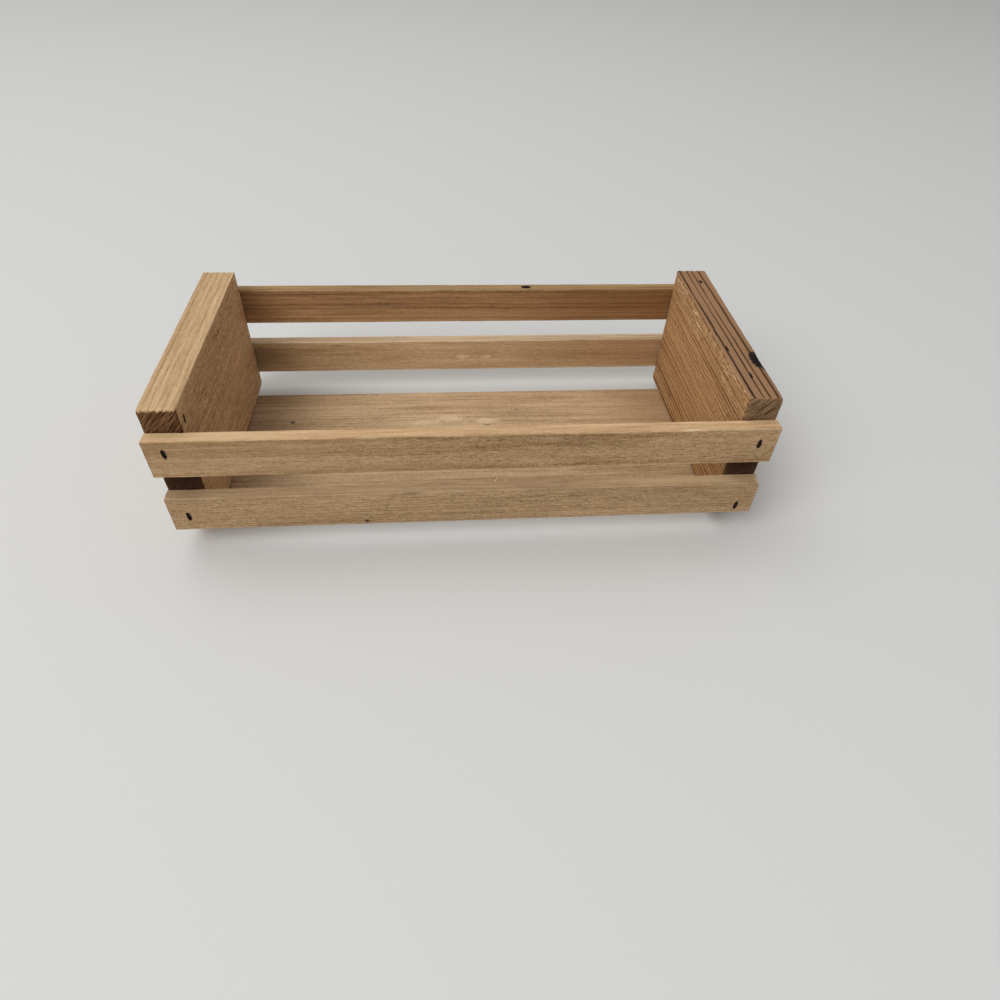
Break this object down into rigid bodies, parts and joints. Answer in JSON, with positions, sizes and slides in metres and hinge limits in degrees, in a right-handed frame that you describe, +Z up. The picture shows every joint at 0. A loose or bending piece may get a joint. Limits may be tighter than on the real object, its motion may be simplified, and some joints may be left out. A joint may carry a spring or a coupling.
{
  "type": "wooden crate",
  "caption": "Small low open crate of old softwood: thick end boards on a thin bottom board, with spaced slats stapled along the front and back.",
  "frame": {"origin": "on the standing surface, under the middle of the crate", "axes": "+X along the slats to the right end board, +Y from the front slats to the back slats, +Z up"},
  "size_m": [0.316, 0.156, 0.09],
  "materials": {
    "left_end_wood": "aged, unfinished",
    "right_end_wood": "aged, unfinished",
    "slat_wood": "rough sawn, unfinished",
    "bottom_wood": "aged, unfinished",
    "staple_steel": "darkened, slightly rusty wire"
  },
  "bodies": {
    "root": {"left_end_board": "left_end_wood", "right_end_board": "right_end_wood", "front_upper_slat": "slat_wood", "front_lower_slat": "slat_wood", "back_upper_slat": "slat_wood", "back_lower_slat": "slat_wood", "bottom_board": "bottom_wood", "front_upper_left_staple": "staple_steel", "front_upper_right_staple": "staple_steel", "front_lower_left_staple": "staple_steel", "front_lower_right_staple": "staple_steel", "back_upper_left_staple": "staple_steel", "back_upper_right_staple": "staple_steel", "back_lower_left_staple": "staple_steel", "back_lower_right_staple": "staple_steel", "bottom_left_staple_1": "staple_steel", "bottom_left_staple_2": "staple_steel", "bottom_left_staple_3": "staple_steel", "bottom_right_staple_1": "staple_steel", "bottom_right_staple_2": "staple_steel", "bottom_right_staple_3": "staple_steel"}
  },
  "joints": []
}
